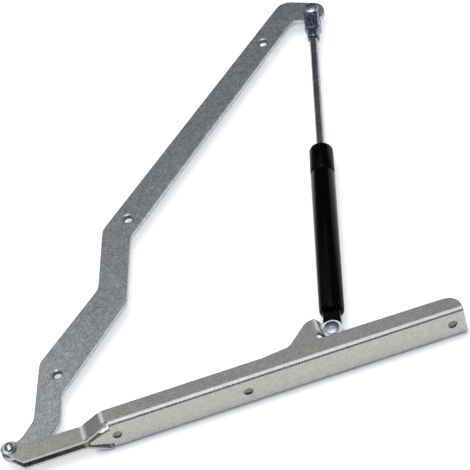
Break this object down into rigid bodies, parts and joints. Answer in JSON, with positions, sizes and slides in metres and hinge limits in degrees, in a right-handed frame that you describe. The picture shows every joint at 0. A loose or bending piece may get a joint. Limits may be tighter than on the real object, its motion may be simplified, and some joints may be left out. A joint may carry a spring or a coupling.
{
  "type": "gas strut lift hinge",
  "caption": "Riveted lift hinge for a storage bed base or heavy lid: a folded steel rail, a bent steel arm and the gas strut that pushes the arm open.",
  "frame": {"origin": "middle of the rail's mounting face, halfway along the web", "axes": "+X along the rail from the main pivot towards its square end, +Y away from the mounting face into the mechanism, +Z square to the plane the arm swings in; the part lies on its side as pictured"},
  "size_m": [0.4122, 0.4405, 0.0326],
  "materials": {
    "zinc_sheet": "zinc plated sheet steel, speckled grey on the flanges and smooth inside",
    "zinc_bar": "zinc plated flat bar, finely speckled faces and bright punched edges",
    "rivet_steel": "bright plated rivet steel",
    "black_paint": "gloss black paint",
    "dark_chrome": "ground and hard-treated dark rod",
    "fork_zinc": "bluish zinc plated machined steel",
    "inner_steel": "plain machined steel",
    "bronze": "sintered bronze",
    "rubber": "black nitrile rubber",
    "piston_plastic": "dark moulded plastic"
  },
  "bodies": {
    "rail": {"base_rail": "zinc_sheet", "main_pivot_rivet": "rivet_steel", "lower_pivot_rivet_head": "rivet_steel", "lower_pivot_rivet_tail": "rivet_steel"},
    "arm": {"lift_arm": "zinc_bar"},
    "rod": {"rod_end_fork": "fork_zinc", "top_pivot_rivet": "rivet_steel", "strut_rod": "dark_chrome", "piston": "piston_plastic", "piston_ring": "rubber", "piston_front_washer": "inner_steel", "piston_back_washer": "inner_steel", "piston_nut": "inner_steel"},
    "tube": {"strut_tube": "black_paint", "tube_end_eye": "black_paint", "tube_end_plug": "inner_steel", "plug_seal_ring": "rubber", "rod_guide": "bronze", "rod_seal": "rubber", "rod_wiper": "rubber", "seal_washer": "inner_steel"}
  },
  "joints": [
    {"name": "arm_fold", "type": "hinge", "parent": "rail", "child": "arm", "pos_m": [-0.2435, 0.0185, 0], "axis": [0, 0, 1], "range_deg": [-36, 0]},
    {"name": "strut_swing", "type": "hinge", "parent": "arm", "child": "rod", "pos_m": [0.1398, 0.4178, 0], "axis": [0, 0, 1], "range_deg": [-22.39, 0]},
    {"name": "strut_stroke", "type": "slide", "parent": "rod", "child": "tube", "axis": [-0.2268, -0.974, 0], "range_m": [-0.1311, 0]}
  ],
  "couplings": [
    {"joint": "strut_swing", "follows": "arm_fold", "ratio": 0.62171},
    {"joint": "strut_stroke", "follows": "arm_fold", "m_per_rad": 0.2085}
  ]
}
